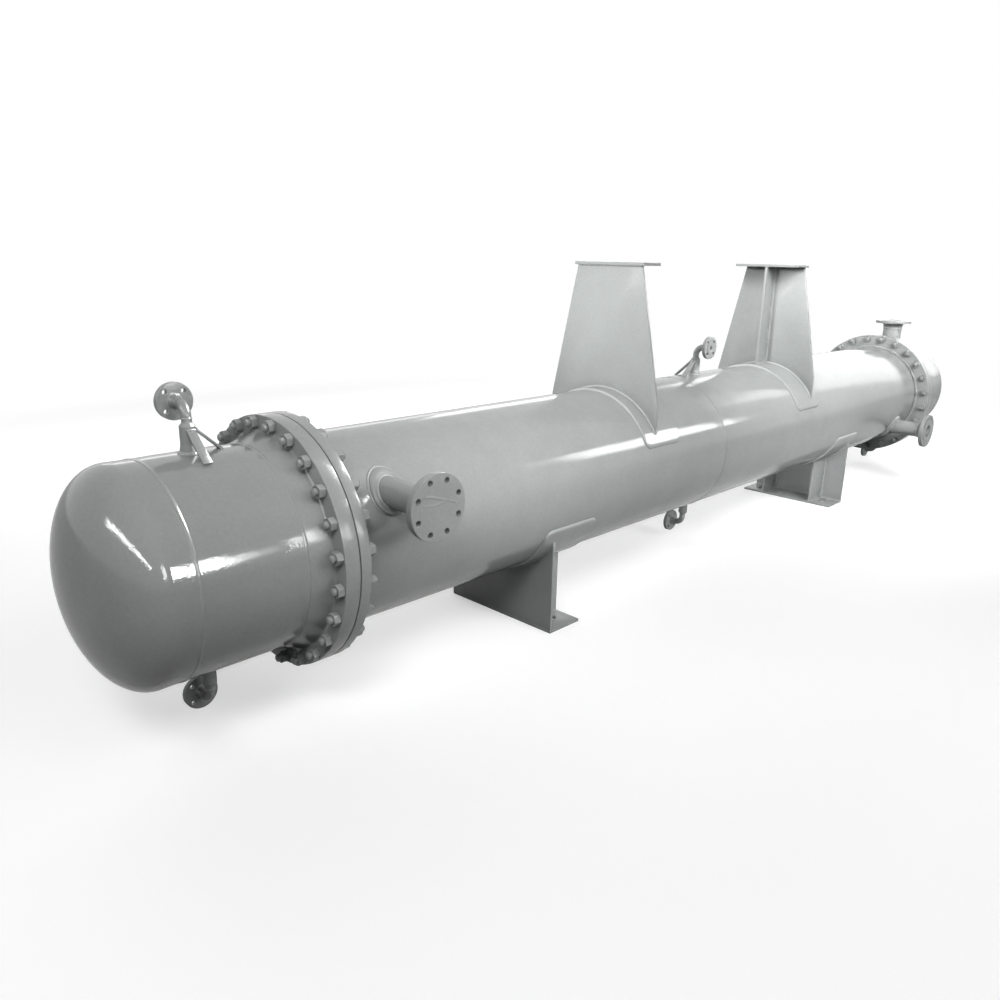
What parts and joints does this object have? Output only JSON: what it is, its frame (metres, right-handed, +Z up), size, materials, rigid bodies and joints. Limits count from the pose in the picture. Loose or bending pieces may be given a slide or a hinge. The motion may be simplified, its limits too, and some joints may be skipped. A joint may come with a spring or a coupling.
{
  "type": "shell and tube heat exchanger",
  "caption": "Horizontal shell and tube heat exchanger with flanged bonnet and channel ends, side and top nozzles, vents and drains, on saddles with stacking brackets on top.",
  "frame": {"origin": "underside of the front saddle's base plate, midway across it, straight below the shell axis", "axes": "+X along the shell from the bonnet end to the channel end, +Z up, both shell nozzles face -Y"},
  "size_m": [5.764, 0.872, 1.359],
  "materials": {
    "shell_paint": "glossy light grey paint over rolled steel plate",
    "end_paint": "glossy light grey paint over pressed and rolled steel",
    "flange_paint": "glossy light grey paint over machined forgings",
    "fitting_paint": "glossy light grey paint over pipe and forged fittings",
    "saddle_paint": "light grey paint over cut plate",
    "gasket_black": "dull black sheet gasket"
  },
  "bodies": {
    "root": {"front_bonnet_head": "end_paint", "front_bonnet_barrel": "end_paint", "front_bonnet_flange": "flange_paint", "girth_gaskets": "gasket_black", "front_tubesheet": "flange_paint", "front_shell_course": "shell_paint", "rear_shell_course": "shell_paint", "rear_tubesheet": "flange_paint", "rear_channel_flange": "flange_paint", "rear_channel_barrel": "end_paint", "rear_channel_head": "end_paint", "shell_front_nozzle_neck": "fitting_paint", "shell_front_nozzle_flange": "fitting_paint", "shell_rear_nozzle_neck": "fitting_paint", "shell_rear_nozzle_flange": "fitting_paint", "channel_top_nozzle_neck": "fitting_paint", "channel_top_nozzle_flange": "fitting_paint", "bonnet_vent_pipe": "fitting_paint", "bonnet_vent_flange": "fitting_paint", "bonnet_vent_braces": "fitting_paint", "bonnet_drain_pipe": "fitting_paint", "bonnet_drain_flange": "fitting_paint", "shell_vent_pipe": "fitting_paint", "shell_vent_flange": "fitting_paint", "shell_vent_braces": "fitting_paint", "shell_drain_pipe": "fitting_paint", "shell_drain_flange": "fitting_paint", "channel_drain_pipe": "fitting_paint", "channel_drain_flange": "fitting_paint", "front_saddle_pad": "saddle_paint", "front_saddle_web": "saddle_paint", "front_saddle_ribs": "saddle_paint", "front_saddle_base": "saddle_paint", "rear_saddle_pad": "saddle_paint", "rear_saddle_web": "saddle_paint", "rear_saddle_ribs": "saddle_paint", "rear_saddle_base": "saddle_paint", "front_bracket_web": "saddle_paint", "rear_bracket_web": "saddle_paint", "front_bracket_pad": "saddle_paint", "rear_bracket_pad": "saddle_paint", "bracket_ribs": "saddle_paint", "front_bracket_top_plate": "saddle_paint", "rear_bracket_top_plate": "saddle_paint"}
  },
  "joints": []
}
